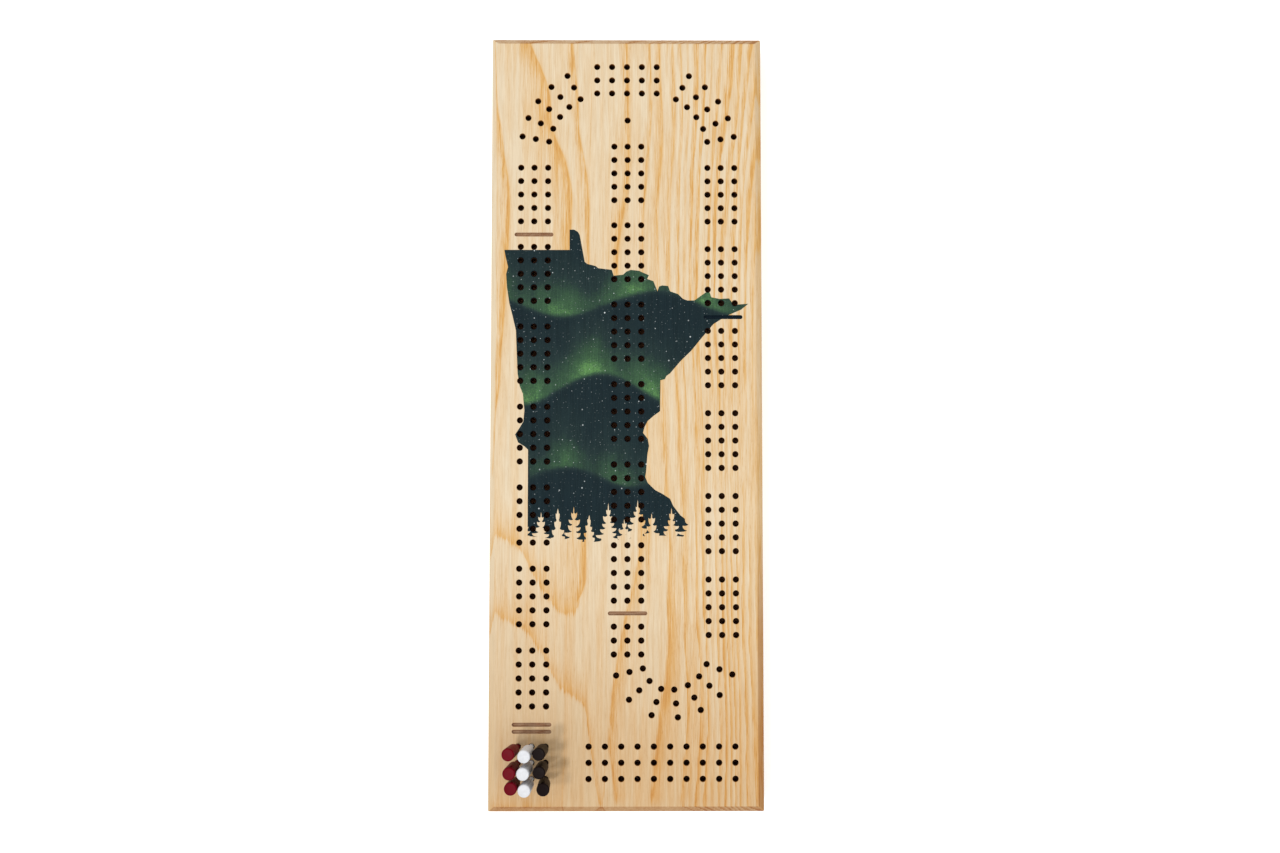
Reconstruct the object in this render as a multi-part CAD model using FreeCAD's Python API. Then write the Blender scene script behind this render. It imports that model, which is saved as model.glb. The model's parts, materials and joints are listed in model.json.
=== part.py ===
"""Cribbage board: a hardwood slab drilled for three players, with nine pegs.

Frame: +Y runs up the board from the start end, +X to the right, +Z up. The
origin lies on the table, under the middle of the board. Millimetres.
"""
import FreeCAD, Part
import math
import os

# Board slab: 5 1/2 in wide, 15 5/8 in long, planed from 3/4 in stock.
BOARD_WIDTH = 139.7
BOARD_LENGTH = 396.9
BOARD_THICKNESS = 19.05
TOP_BEVEL = 3.175          # 1/8 in bevel all round the top
BOTTOM_EASING = 0.8        # sharp lower edges taken off

# Rubber feet.
FOOT_RADIUS = 6.35
FOOT_HEIGHT = 3.5
FOOT_EDGE = 1.2            # bevel round the bottom of a foot
FOOT_INSET = 11.0          # from a board edge to the middle of a foot

# Peg holes.
HOLE_RADIUS = 1.5875       # 1/8 in drill
HOLE_DEPTH = 7.94
HOLE_RIM = 0.15            # sanded edge of a hole

# The three lanes of a street. The drills of the set are not quite even.
LANE_LEFT = -6.85
LANE_RIGHT = 7.05
LANES = (LANE_LEFT, 0.0, LANE_RIGHT)
ROW_PITCH = 7.0
ROWS_PER_GROUP = 5

# Straight streets: middle lane, first row, step between groups, groups.
STREET_MIDDLE = 0.6        # the home street stands just right of centre
STREET_SPREAD = 48.1       # from the home street to either outer street
LEFT_FIRST_ROW = 130.1
LEFT_GROUP_STEP = 41.25
LEFT_GROUPS = 7
RIGHT_FIRST_ROW = 130.1
RIGHT_GROUP_STEP = 42.35
RIGHT_GROUPS = 6
HOME_FIRST_ROW = 141.2
HOME_GROUP_STEP = 41.1
HOME_GROUPS = 6
HOME_ENTRY_ROWS = 3        # short group where the home street begins
FINISH_HOLE_Y = 154.9

# Top turn: a fan of rows at each corner and a straight block between them.
FAN_LANES = (-7.0, 0.0, 7.0)
TOP_FAN_RADIUS = 39.6
TOP_FAN_Y = 137.55
TOP_FAN_SPREAD = 8.9       # each fan centre from the middle line of the turn
TOP_FAN_MIDDLE = 0.9
TOP_FAN_ANGLE = 11.0       # last row of a fan above the horizontal
TOP_FAN_STEP = 12.5
TOP_FAN_ROWS = 5
TOP_BLOCK_X = 0.25
TOP_BLOCK_Y = 176.0
TOP_BLOCK_STEP = 7.72
TOP_BLOCK_COLUMNS = 5

# Bottom turn, into the home street: an open fan, then a tighter one.
OPEN_FAN = {"x": 21.7, "y": -116.7, "radius": 27.5, "angle": -21.7, "step": -20.3, "rows": 4}
TIGHT_FAN = {"x": 22.9, "y": -122.7, "radius": 21.9, "angle": -110.3, "step": -27.6, "rows": 3}

# Start holes and the block that counts games won.
LOW_FIRST_ROW = -165.5
LOW_ROW_PITCH = 8.05
LOW_ROWS = 3
START_MIDDLE_X = -47.75
GAMES_FIRST_X = -18.9
GAMES_STEP = 8.23
GAMES_COLUMNS = 10

# Lines routed across the streets.
LINE_LENGTH = 19.6
LINE_WIDTH = 1.6
LINE_DEPTH = 1.1
LINES = (
    (START_MIDDLE_X, -154.5),
    (START_MIDDLE_X, -158.0),
    (-47.6, 95.2),
    (49.6, 52.5),
    (0.7, -98.7),
)

# Peg storage under the board: room for nine pegs side by side.
POCKET_WIDTH = 36.0        # along X, a little over one peg's length
POCKET_LENGTH = 62.0       # along Y
POCKET_DEPTH = 9.3
POCKET_CORNER = 3.2

# Swivel cover of the storage and its two screws.
COVER_WIDTH = 46.0
COVER_LENGTH = 84.0
COVER_THICKNESS = 0.8
COVER_CORNER = 5.0
COVER_GAP = 0.15           # cover to board
SCREW_SPACING = 72.0       # pivot to catch, both on the middle line
SHANK_RADIUS = 1.45
SHANK_LENGTH = 10.5        # in the wood
SHANK_TIP = 2.5
PIVOT_CLEARANCE = 0.08
NOTCH_CLEARANCE = 0.3
HEAD_RADIUS = 3.0
HEAD_HEIGHT = 1.5
HEAD_GAP = 0.1             # cover to screw head
DRIVE_WIDTH = 0.8          # cross slots
DRIVE_LENGTH = 3.2
DRIVE_DEPTH = 0.8

# Pegs: a plain round head above a thin pin. Heights from the board's face.
PEG_TOP = 25.0
PEG_HEAD_RADIUS = 3.175
PEG_HEAD_FOOT_RADIUS = 2.95
PEG_HEAD_FOOT = 9.8        # where the head ends
PEG_SHOULDER = 1.0         # height of the cone under the head
PEG_PIN_RADIUS = 1.25
PEG_TIP_RADIUS = 1.0
PEG_PIN_IN_HOLE = 7.7
PEG_EDGE = 0.4
PEG_PIVOT_DEPTH = 2.8      # a loose peg leans about this point in its hole

# How far each peg's top leans from over its hole, (x, y), far row first.
PEG_LEANS = {
    "red": ((-2.7, 1.1), (-2.18, 0.0), (-1.34, 0.85)),
    "white": ((-1.83, 0.15), (-2.35, -0.2), (-1.6, -0.15)),
    "black": ((-1.63, 1.34), (-1.44, 0.54), (0.59, 0.45)),
}

UNDERSIDE = FOOT_HEIGHT
FACE = UNDERSIDE + BOARD_THICKNESS
UP = FreeCAD.Vector(0, 0, 1)


def vec(x, y, z=0.0):
    return FreeCAD.Vector(x, y, z)


# Where the holes are.

def street(middle_x, first_row, group_step, groups, rows_in_last=ROWS_PER_GROUP):
    """Holes of a straight street, in groups of five rows, three lanes wide."""
    holes = []
    for group in range(groups):
        rows = rows_in_last if group == groups - 1 else ROWS_PER_GROUP
        for row in range(rows):
            y = first_row - group * group_step - row * ROW_PITCH
            holes += [(middle_x + lane, y) for lane in LANES]
    return holes


def fan(x, y, radius, angle, step, rows):
    """Holes of a turn: rows like spokes about the point (x, y)."""
    holes = []
    for row in range(rows):
        turn = math.radians(angle + row * step)
        for lane in FAN_LANES:
            reach = radius + lane
            holes.append((x + reach * math.cos(turn), y + reach * math.sin(turn)))
    return holes


def top_turn():
    right_x = TOP_FAN_MIDDLE + TOP_FAN_SPREAD
    left_x = TOP_FAN_MIDDLE - TOP_FAN_SPREAD
    holes = fan(right_x, TOP_FAN_Y, TOP_FAN_RADIUS, TOP_FAN_ANGLE, TOP_FAN_STEP, TOP_FAN_ROWS)
    holes += fan(left_x, TOP_FAN_Y, TOP_FAN_RADIUS, 180 - TOP_FAN_ANGLE, -TOP_FAN_STEP, TOP_FAN_ROWS)
    for column in range(TOP_BLOCK_COLUMNS):
        x = TOP_BLOCK_X + (column - (TOP_BLOCK_COLUMNS - 1) / 2) * TOP_BLOCK_STEP
        holes += [(x, TOP_BLOCK_Y + lane) for lane in LANES]
    return holes


def start_holes():
    return [[(START_MIDDLE_X + lane, LOW_FIRST_ROW - row * LOW_ROW_PITCH) for lane in LANES]
            for row in range(LOW_ROWS)]


def games_won_holes():
    return [(GAMES_FIRST_X + column * GAMES_STEP, LOW_FIRST_ROW - row * LOW_ROW_PITCH)
            for column in range(GAMES_COLUMNS) for row in range(LOW_ROWS)]


def all_holes():
    left_x = STREET_MIDDLE - STREET_SPREAD
    right_x = STREET_MIDDLE + STREET_SPREAD
    holes = street(left_x, LEFT_FIRST_ROW, LEFT_GROUP_STEP, LEFT_GROUPS)
    holes += top_turn()
    holes += street(right_x, RIGHT_FIRST_ROW, RIGHT_GROUP_STEP, RIGHT_GROUPS)
    holes += fan(**OPEN_FAN)
    holes += fan(**TIGHT_FAN)
    holes += street(STREET_MIDDLE, HOME_FIRST_ROW, HOME_GROUP_STEP, HOME_GROUPS)
    entry_row = HOME_FIRST_ROW - HOME_GROUPS * HOME_GROUP_STEP
    holes += street(STREET_MIDDLE, entry_row, HOME_GROUP_STEP, 1, HOME_ENTRY_ROWS)
    holes.append((STREET_MIDDLE, FINISH_HOLE_Y))
    for row in start_holes():
        holes += row
    return holes + games_won_holes()


# Shapes that several pieces use.

def revolved(profile):
    """A solid turned about Z from (radius, height) points, closed on the axis."""
    points = [vec(radius, 0, height) for radius, height in profile]
    face = Part.Face(Part.makePolygon(points + [points[0]]))
    return face.revolve(vec(0, 0), UP, 360)


def rounded_slab(width, length, height, corner, centre, base):
    """A slab with rounded upright corners, standing on the level base."""
    x0 = centre[0] - width / 2
    y0 = centre[1] - length / 2
    slab = Part.makeBox(width, length, height, vec(x0, y0, base))
    uprights = [edge for edge in slab.Edges
                if abs(edge.Vertexes[0].Z - edge.Vertexes[1].Z) > height / 2]
    return slab.makeFillet(corner, uprights)


# Board.

def board_blank():
    slab = Part.makeBox(BOARD_WIDTH, BOARD_LENGTH, BOARD_THICKNESS,
                        vec(-BOARD_WIDTH / 2, -BOARD_LENGTH / 2, UNDERSIDE))

    def rim(level):
        return [edge for edge in slab.Edges
                if all(abs(vertex.Z - level) < 0.01 for vertex in edge.Vertexes)]

    top_edges = rim(FACE)
    slab = slab.makeChamfer(TOP_BEVEL, top_edges)
    return slab.makeChamfer(BOTTOM_EASING, rim(UNDERSIDE))


def hole_cutter():
    """One peg hole with its sanded rim, at the origin, to be cut downwards."""
    above = 1.0
    profile = [(0, -HOLE_DEPTH), (HOLE_RADIUS, -HOLE_DEPTH), (HOLE_RADIUS, -HOLE_RIM),
               (HOLE_RADIUS + HOLE_RIM, 0), (HOLE_RADIUS + HOLE_RIM, above), (0, above)]
    return revolved(profile)


def line_cutter(centre):
    """A routed line across a street, with round ends."""
    above = 1.0
    slab = rounded_slab(LINE_LENGTH, LINE_WIDTH, LINE_DEPTH + above,
                        LINE_WIDTH / 2 - 0.001, centre, FACE - LINE_DEPTH)
    return slab


def screw_places():
    """Pivot screw and catch screw, on the middle line under the board."""
    return (0.0, -SCREW_SPACING / 2), (0.0, SCREW_SPACING / 2)


def board():
    cutter = hole_cutter()
    cutters = [cutter.translated(vec(x, y, FACE)) for x, y in all_holes()]
    cutters += [line_cutter(centre) for centre in LINES]
    cutters.append(rounded_slab(POCKET_WIDTH, POCKET_LENGTH, POCKET_DEPTH + 1.0, POCKET_CORNER,
                                (0, 0), UNDERSIDE - 1.0))
    for x, y in screw_places():
        cutters.append(Part.makeCylinder(SHANK_RADIUS, SHANK_LENGTH + 1.0,
                                         vec(x, y, UNDERSIDE - 1.0)))
    return board_blank().cut(Part.makeCompound(cutters))


# Underside hardware.

def foot(x, y):
    shape = revolved([(0, 0), (FOOT_RADIUS - FOOT_EDGE, 0), (FOOT_RADIUS, FOOT_EDGE),
                      (FOOT_RADIUS, FOOT_HEIGHT), (0, FOOT_HEIGHT)])
    return shape.translated(vec(x, y))


def screw(x, y):
    """Round-headed wood screw driven upwards, head under the cover."""
    under_cover = UNDERSIDE - COVER_GAP - COVER_THICKNESS - HEAD_GAP
    crown = under_cover - HEAD_HEIGHT
    end = UNDERSIDE + SHANK_LENGTH
    shape = revolved([(0, crown), (HEAD_RADIUS * 0.55, crown), (HEAD_RADIUS * 0.87, crown + 0.35),
                      (HEAD_RADIUS, crown + 0.9), (HEAD_RADIUS, under_cover),
                      (SHANK_RADIUS, under_cover), (SHANK_RADIUS, end - SHANK_TIP), (0, end)])
    drive = Part.makeBox(DRIVE_LENGTH, DRIVE_WIDTH, DRIVE_DEPTH,
                         vec(-DRIVE_LENGTH / 2, -DRIVE_WIDTH / 2, crown))
    crossed = drive.copy()
    crossed.rotate(vec(0, 0), UP, 90)
    return shape.cut(drive.fuse(crossed)).translated(vec(x, y))


def storage_cover():
    """Thin plate turning on the pivot screw, hooked over the catch screw."""
    (pivot_x, pivot_y), (catch_x, catch_y) = screw_places()
    base = UNDERSIDE - COVER_GAP - COVER_THICKNESS
    plate = rounded_slab(COVER_WIDTH, COVER_LENGTH, COVER_THICKNESS, COVER_CORNER, (0, 0), base)
    pivot_hole = Part.makeCylinder(SHANK_RADIUS + PIVOT_CLEARANCE, COVER_THICKNESS + 1.0,
                                   vec(pivot_x, pivot_y, base - 0.5))
    # The notch is an arc about the pivot, open at the side the plate leaves from.
    half = SHANK_RADIUS + NOTCH_CLEARANCE
    outer = Part.makeCylinder(SCREW_SPACING + half, COVER_THICKNESS + 1.0,
                              vec(pivot_x, pivot_y, base - 0.5))
    inner = Part.makeCylinder(SCREW_SPACING - half, COVER_THICKNESS + 1.0,
                              vec(pivot_x, pivot_y, base - 0.5))
    side = Part.makeBox(COVER_WIDTH, 8 * half, COVER_THICKNESS + 1.0,
                        vec(0, catch_y - 6 * half, base - 0.5))
    seat = Part.makeCylinder(half, COVER_THICKNESS + 1.0, vec(catch_x, catch_y, base - 0.5))
    notch = outer.cut(inner).common(side).fuse(seat)
    return plate.cut(pivot_hole).cut(notch)


# Pegs.

def upright_peg():
    """A peg standing straight, with the board's face at height 0."""
    bore = [(0, -PEG_PIN_IN_HOLE), (PEG_TIP_RADIUS - 0.3, -PEG_PIN_IN_HOLE),
            (PEG_TIP_RADIUS, -PEG_PIN_IN_HOLE + 0.3), (PEG_PIN_RADIUS, 0),
            (PEG_PIN_RADIUS, PEG_HEAD_FOOT - PEG_SHOULDER)]
    head = [(PEG_HEAD_FOOT_RADIUS, PEG_HEAD_FOOT), (PEG_HEAD_RADIUS, PEG_TOP - PEG_EDGE),
            (PEG_HEAD_RADIUS - PEG_EDGE, PEG_TOP), (0, PEG_TOP)]
    return revolved(bore + head)


def peg(hole, lean):
    """A peg in its hole, leaning so that its top moves by lean."""
    height = PEG_TOP + PEG_PIVOT_DEPTH
    tilt = math.degrees(math.atan2(math.hypot(*lean), height))
    shape = upright_peg()
    shape.translate(vec(0, 0, PEG_PIVOT_DEPTH))
    shape.rotate(vec(0, 0), vec(-lean[1], lean[0]), tilt)
    shape.translate(vec(hole[0], hole[1], FACE - PEG_PIVOT_DEPTH))
    return shape


def assembly():
    pieces = {"board": board()}
    foot_x = BOARD_WIDTH / 2 - FOOT_INSET
    foot_y = BOARD_LENGTH / 2 - FOOT_INSET
    for end, y in (("front", -foot_y), ("back", foot_y)):
        for side, x in (("left", -foot_x), ("right", foot_x)):
            pieces["foot_" + end + "_" + side] = foot(x, y)
    pivot, catch = screw_places()
    pieces["storage_cover"] = storage_cover()
    pieces["cover_pivot_screw"] = screw(*pivot)
    pieces["cover_catch_screw"] = screw(*catch)
    holes = start_holes()
    for lane, (colour, leans) in enumerate(PEG_LEANS.items()):
        for row, lean in enumerate(leans):
            pieces["peg_%s_%d" % (colour, row + 1)] = peg(holes[row][lane], lean)
    return pieces


def main():
    os.makedirs("parts", exist_ok=True)
    for name, shape in assembly().items():
        if not shape.isValid() or len(shape.Solids) != 1:
            raise RuntimeError(name + " is not one valid solid")
        shape.Solids[0].exportStep("parts/" + name + ".step")
        box = shape.BoundBox
        print("%-18s %8.1f mm3  z %.2f to %.2f" % (name, shape.Volume, box.ZMin, box.ZMax))
    print("holes", len(all_holes()))


main()
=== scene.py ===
"""Looks of a cribbage board: a bevelled hardwood slab, its printed night sky, pegs and underside."""
import json
import math
import random

import bpy
import numpy as np
from mathutils import Matrix, Vector, geometry


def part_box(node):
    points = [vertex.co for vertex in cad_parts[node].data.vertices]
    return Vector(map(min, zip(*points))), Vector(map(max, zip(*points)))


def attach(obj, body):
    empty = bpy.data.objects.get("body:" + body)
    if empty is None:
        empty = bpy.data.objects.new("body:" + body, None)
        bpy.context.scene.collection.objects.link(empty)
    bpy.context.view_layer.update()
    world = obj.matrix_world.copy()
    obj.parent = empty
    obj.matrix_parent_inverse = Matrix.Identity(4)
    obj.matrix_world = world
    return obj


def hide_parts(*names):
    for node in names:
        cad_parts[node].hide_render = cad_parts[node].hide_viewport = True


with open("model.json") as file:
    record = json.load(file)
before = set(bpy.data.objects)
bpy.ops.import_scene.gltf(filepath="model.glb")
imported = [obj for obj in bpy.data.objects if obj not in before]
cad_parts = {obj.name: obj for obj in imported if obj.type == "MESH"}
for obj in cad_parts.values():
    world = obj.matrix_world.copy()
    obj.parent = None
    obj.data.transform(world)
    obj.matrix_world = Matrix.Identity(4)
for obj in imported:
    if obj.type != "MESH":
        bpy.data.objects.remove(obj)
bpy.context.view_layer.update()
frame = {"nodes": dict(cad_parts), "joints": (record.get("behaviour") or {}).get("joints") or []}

bl_info = {
    "name": "Cribbage Board",
    "version": (1, 0, 0),
    "blender": (4, 5, 0),
    "location": "View3D > Sidebar > Cribbage",
    "description": "Slab, printed panel, pegs and underside hardware of a cribbage board",
    "category": "Add Mesh",
}

MM = 0.001
BOARD_LOW, BOARD_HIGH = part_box("board")
FACE = BOARD_HIGH.z
UNDERSIDE = BOARD_LOW.z
ROOT = "board"

# Depths that the slab is drilled and routed to.
HOLE_DEPTH = 7.94 * MM
LINE_DEPTH = 1.1 * MM
POCKET_DEPTH = 9.3 * MM
POCKET_CORNER = 3.2 * MM
SCREW_HOLE_RADIUS = 1.5 * MM
SCREW_HOLE_DEPTH = 3.0 * MM     # the screws hide the rest of their holes
HOLE_RIM = 0.15 * MM            # how far the rims of holes and lines are worn back
LINE_RIM = 0.12 * MM
INK_CLEAR = 0.16 * MM           # how far the ink film stays from a hole

# A peg, from its tip up.
PIN_TIP_RADIUS = 1.0 * MM
PIN_RADIUS = 1.25 * MM
PIN_IN_HOLE = 7.7 * MM
SHOULDER_HEIGHT = 16.5 * MM
SHOULDER_CONE = 1.0 * MM
HEAD_TAPER = 0.22 * MM
HEAD_EDGE = 0.45 * MM
HEAD_DISH = 0.12 * MM

# Materials of the slab by their numbers; the hardwood itself is 0.
DRILLED, ROUTED, INK = 1, 2, 3

# The printed panel is a map of a lake state, in degrees west and north, stretched to
# fill its place among the holes. Its points began as remembered ones. Its east side,
# part of its north and its south edge were then matched to the photograph.
BORDER = (
    (97.23, 49.00), (95.16, 49.00), (95.16, 49.38), (95.02, 49.38), (94.90, 49.34), (94.84, 49.28),
    (94.68, 48.78), (94.60, 48.74), (94.33, 48.70), (94.25, 48.66), (93.82, 48.63), (93.76, 48.52),
    (93.46, 48.54), (93.35, 48.60), (93.21, 48.63), (92.95, 48.61), (92.64, 48.53), (92.70, 48.46),
    (92.50, 48.42), (92.37, 48.23), (92.32, 48.32), (92.22, 48.34), (92.03, 48.33), (91.97, 48.23),
    (91.72, 48.18), (91.56, 48.09), (91.42, 48.06), (91.20, 48.06), (90.96, 48.16), (90.74, 48.25),
    (90.66, 48.12), (90.40, 48.09), (90.10, 48.10), (89.95, 47.98), (89.49, 48.00), (89.72, 47.89),
    (90.20, 47.77), (90.60, 47.62), (90.95, 47.38), (91.30, 47.13), (91.65, 46.93), (91.97, 46.71),
    (92.09, 46.66), (92.14, 46.60), (92.28, 46.58), (92.29, 46.01), (92.50, 45.92), (92.68, 45.83),
    (92.78, 45.72), (92.83, 45.61), (92.68, 45.50), (92.64, 45.37), (92.69, 45.22), (92.73, 44.91),
    (92.76, 44.80), (92.68, 44.69), (92.45, 44.56), (92.22, 44.49), (91.98, 44.40), (91.88, 44.27),
    (91.66, 44.10), (91.37, 43.97), (91.24, 43.84), (91.18, 43.70), (91.18, 43.40), (96.45, 43.40),
    (96.45, 45.30), (96.56, 45.36), (96.76, 45.43), (96.86, 45.58), (96.72, 45.70), (96.60, 45.82),
    (96.57, 46.02), (96.62, 46.33), (96.72, 46.47), (96.79, 46.70), (96.82, 47.10), (96.85, 47.50),
    (96.95, 47.75), (97.06, 48.00), (97.14, 48.30), (97.17, 48.55), (97.11, 48.68), (97.18, 48.85),
)
MAP_CORNER = (-62.8, 87.2)      # north-west corner of the map, mm
MAP_DEGREE = (16.21, 27.8)      # size of a degree, mm
PANEL_GRID = 1.5                # spacing of the points that carry the glow of the sky, mm

# Firs of bare wood in an uneven row along the foot of the panel, on rolling ground. In mm.
GROUND_LEVEL = -61.0
GROUND_SWELL = 1.6
GROUND_WAVE = 12.0
GROUND_STEP = 3.0
GROUND_BEYOND = 8.0             # how far the ground goes on past the row of firs
GROUND_FLOOR = -90.0            # somewhere below the whole panel
TREE_ROW = (-53.0, 38.0)
TREE_STEP = 8.2
TREE_HEIGHT = (12.0, 25.0)
TREE_SUNK = 3.0                 # how far the lowest boughs reach into the ground
TRUNK_IN_GROUND = 5.0
BOUGH_STEP = 4.5

# Northern lights: curtains that sway from side to side across the panel. Each has its
# level, its sway, the reach of a sway, where in a sway it starts, and its brightness.
CURTAINS = (
    (61.0, 6.5, 15.0, 0.6, 0.80),
    (17.0, 8.0, 13.0, 2.6, 0.92),
    (-28.0, 5.0, 11.0, 4.4, 0.60),
)
CURTAIN_HEIGHT = 15.0           # how far a curtain's glow reaches up, mm
CURTAIN_FOOT = 2.0              # and down
HAZE = 0.10                     # glow of the sky between the curtains

# Stars, small to large: spacing and radius in mm, a seed, and brightness.
STARS = ((2.4, 0.27, 3.3, 0.34), (5.2, 0.36, 11.0, 0.80), (11.0, 0.50, 21.0, 1.0))

# Growth rings that show on the face. Each runs along the board by (y, x) points and
# glows over a reach to its left and its right, given at the finish and start ends,
# like its strength. In mm.
RINGS = (
    (((195, -76), (165, -68), (140, -63.5), (112, -60.3), (75, -61.8), (45, -63.5), (10, -66),
      (-30, -76)), (3.2, 3.2), (0.5, 0.5), (1.0, 0.6)),
    (((195, -50), (183, -45), (170, -40.3), (150, -38.2), (132, -31.5), (110, -28.2), (70, -31),
      (0, -33)), (5.5, 2.5), (0.6, 0.6), (0.95, 0.0)),
    (((195, -28), (165, -25), (150, -24.4), (125, -20.6), (90, -19.2), (30, -22), (-30, -25.5),
      (-60, -20.8), (-82, -21), (-96, -26)), (2.6, 4.2), (0.4, 0.4), (0.85, 1.1)),
    (((195, 0), (150, 1), (120, 0), (80, -5), (20, 3), (-40, 8), (-75, 5.5), (-100, 0), (-130, -5.6),
      (-160, -8.2), (-195, -5)), (2.2, 0.5), (1.2, 3.6), (0.95, 0.85)),
    (((195, 12), (165, 13), (130, 10.6), (90, 8.4), (40, 9), (-40, 11.5), (-80, 11.5), (-130, 9),
      (-195, 6)), (1.4, 0.5), (0.5, 1.4), (0.85, 0.25)),
    (((195, 17), (150, 18.4), (100, 16.2), (50, 17.6), (10, 18.6), (-40, 21), (-90, 22), (-130, 20.4),
      (-155, 16.8), (-195, 12.5)), (1.6, 0.6), (0.5, 3.8), (0.75, 0.90)),
    (((195, 24), (160, 25), (120, 22.8), (70, 22.2), (10, 26.6), (-50, 29), (-100, 29.5),
      (-145, 31.2), (-195, 27.5)), (1.8, 0.5), (0.5, 2.6), (0.70, 0.75)),
)
RING_ENDS = (60.0, -120.0)      # heights on the board where those two ends are reached

# Fine rings share the strip from the last of those rings to a line of (y, x) points.
FINE_RINGS = 15
FINE_FROM = RINGS[-1][0]
FINE_TO = ((195, 92), (150, 84), (110, 79.5), (70, 77), (0, 76), (-100, 76), (-195, 79))
FINE_STRENGTH = (0.22, 0.82)

# Rings that turn across the board at the start end, by (x, y) points.
ARCHES = (
    ((-72, -57), (-62, -61.5), (-53, -67.5), (-47, -79), (-38, -92.5), (-31, -98.6),
     (-26, -98.4), (-23.4, -90), (-21.4, -70), (-19, 100)),
    ((-72, -94), (-62, -101.5), (-52, -106), (-45, -115), (-36, -131), (-31, -138),
     (-25, -141.2), (-21, -145), (-19.2, -156), (-16.5, -174), (-11, -196), (-9, 100)),
    # The last arch is partly a ring and partly painted shadow of the pegs beside it.
    ((-72, -196), (-56, -198), (-42, -201), (-33, -208), (-29, 100)),
)
ARCH_REACH = (9.0, 0.9)         # inside and outside the arch
ARCH_STRENGTH = 0.70
ARCH_DIP = 5.0                  # how far an arch moves along the board per mm of depth

DEEPEST_AMBER = 1.25            # most of the rings' colour that the wood takes
LINE_SPAN = 220.0               # mm either side of nought that a line in a finish may use

# Floor in metres, and soft lamps: share of the key light, and the way it shines.
FLOOR_SIZE = 6.0
FLOOR_CORNER = 0.5
FLOOR_LEVEL = -0.02 * MM
LAMPS = (("key_lamp", 0.6, (0.34, 0.30, -1.0)), ("side_lamp", 0.4, (0.40, 0.02, -1.0)))
LAMP_SPREAD = math.radians(7.0)
LAMP_COLOUR = (1.0, 0.995, 0.985)


# What a user would change.

class SlabSettings(bpy.types.PropertyGroup):
    corner: bpy.props.FloatProperty(
        name="Corner radius", description="Radius of the slab's upright corners",
        default=0.6 * MM, subtype="DISTANCE", unit="LENGTH")
    easing: bpy.props.FloatProperty(
        name="Sanded edge", description="How far sanding has rounded each long edge",
        default=0.35 * MM, subtype="DISTANCE", unit="LENGTH")
    bevel: bpy.props.FloatProperty(
        name="Bevel", description="Bevel round the top of the slab",
        default=3.175 * MM, subtype="DISTANCE", unit="LENGTH")
    hole_sides: bpy.props.IntProperty(
        name="Hole sides", description="Faces round each peg hole", default=24)
    pale: bpy.props.FloatVectorProperty(
        name="Pale wood", description="Colour between the growth rings",
        default=(0.704, 0.578, 0.402), subtype="COLOR")
    amber: bpy.props.FloatVectorProperty(
        name="Ring wood", description="Colour of the growth rings",
        default=(0.655, 0.378, 0.118), subtype="COLOR")
    # The drilled wood colour is painted shade: the dark inside the deep holes and screw holes.
    painted_bore_shade: bpy.props.FloatVectorProperty(
        name="Drilled wood", description="Colour of wood scorched by the drill",
        default=(0.260, 0.115, 0.060), subtype="COLOR")
    routed: bpy.props.FloatVectorProperty(
        name="Routed wood", description="Colour of wood in the routed lines",
        default=(0.285, 0.140, 0.070), subtype="COLOR")


class PanelSettings(bpy.types.PropertyGroup):
    film: bpy.props.FloatProperty(
        name="Ink thickness", description="Height of the ink above the wood",
        default=0.03 * MM, subtype="DISTANCE", unit="LENGTH")
    night: bpy.props.FloatVectorProperty(
        name="Night", description="Colour of the dark sky",
        default=(0.0068, 0.0145, 0.0222), subtype="COLOR")
    lights: bpy.props.FloatVectorProperty(
        name="Northern lights", description="Colour of the brightest curtain",
        default=(0.105, 0.245, 0.080), subtype="COLOR")
    tree_seed: bpy.props.IntProperty(
        name="Tree seed", description="Changes the outline of the trees", default=7)


class PegSettings(bpy.types.PropertyGroup):
    sides: bpy.props.IntProperty(
        name="Sides", description="Faces round a peg", default=48)
    red: bpy.props.FloatVectorProperty(
        name="Red", description="Colour of the red pegs",
        default=(0.140, 0.0008, 0.0075), subtype="COLOR")
    white: bpy.props.FloatVectorProperty(
        name="White", description="Colour of the white pegs",
        default=(0.70, 0.71, 0.74), subtype="COLOR")
    black: bpy.props.FloatVectorProperty(
        name="Black", description="Colour of the black pegs",
        default=(0.0085, 0.0042, 0.0040), subtype="COLOR")


class HardwareSettings(bpy.types.PropertyGroup):
    softening: bpy.props.FloatProperty(
        name="Softened edge", description="Rounding on the edges of plate, screws and feet",
        default=0.12 * MM, subtype="DISTANCE", unit="LENGTH")
    brass: bpy.props.FloatVectorProperty(
        name="Brass", description="Colour of the cover and its screws",
        default=(0.62, 0.42, 0.15), subtype="COLOR")
    rubber: bpy.props.FloatVectorProperty(
        name="Rubber", description="Colour of the feet",
        default=(0.018, 0.018, 0.019), subtype="COLOR")


class StageSettings(bpy.types.PropertyGroup):
    camera_x: bpy.props.FloatProperty(
        name="Camera X", description="Camera place across the board",
        default=3.1 * MM, unit="LENGTH")
    camera_y: bpy.props.FloatProperty(
        name="Camera Y", description="Camera place along the board",
        default=-37.2 * MM, unit="LENGTH")
    camera_height: bpy.props.FloatProperty(
        name="Camera height", description="Camera height above the board's face",
        default=0.6352, unit="LENGTH")
    aim_x: bpy.props.FloatProperty(
        name="Aim X", description="Point on the face that the camera looks at",
        default=7.0 * MM, unit="LENGTH")
    aim_y: bpy.props.FloatProperty(
        name="Aim Y", description="Point on the face that the camera looks at",
        default=-3.8 * MM, unit="LENGTH")
    lens: bpy.props.FloatProperty(
        name="Lens", description="Focal length of the camera, mm", default=35.0)
    key: bpy.props.FloatProperty(
        name="Key light", description="Strength of the soft key light", default=1.30)
    fill: bpy.props.FloatProperty(
        name="Fill light", description="Strength of the white surroundings", default=0.80)


SETTINGS = {
    "cribbage_slab": SlabSettings,
    "cribbage_panel": PanelSettings,
    "cribbage_pegs": PegSettings,
    "cribbage_hardware": HardwareSettings,
    "cribbage_stage": StageSettings,
}


# Meshes.

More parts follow.
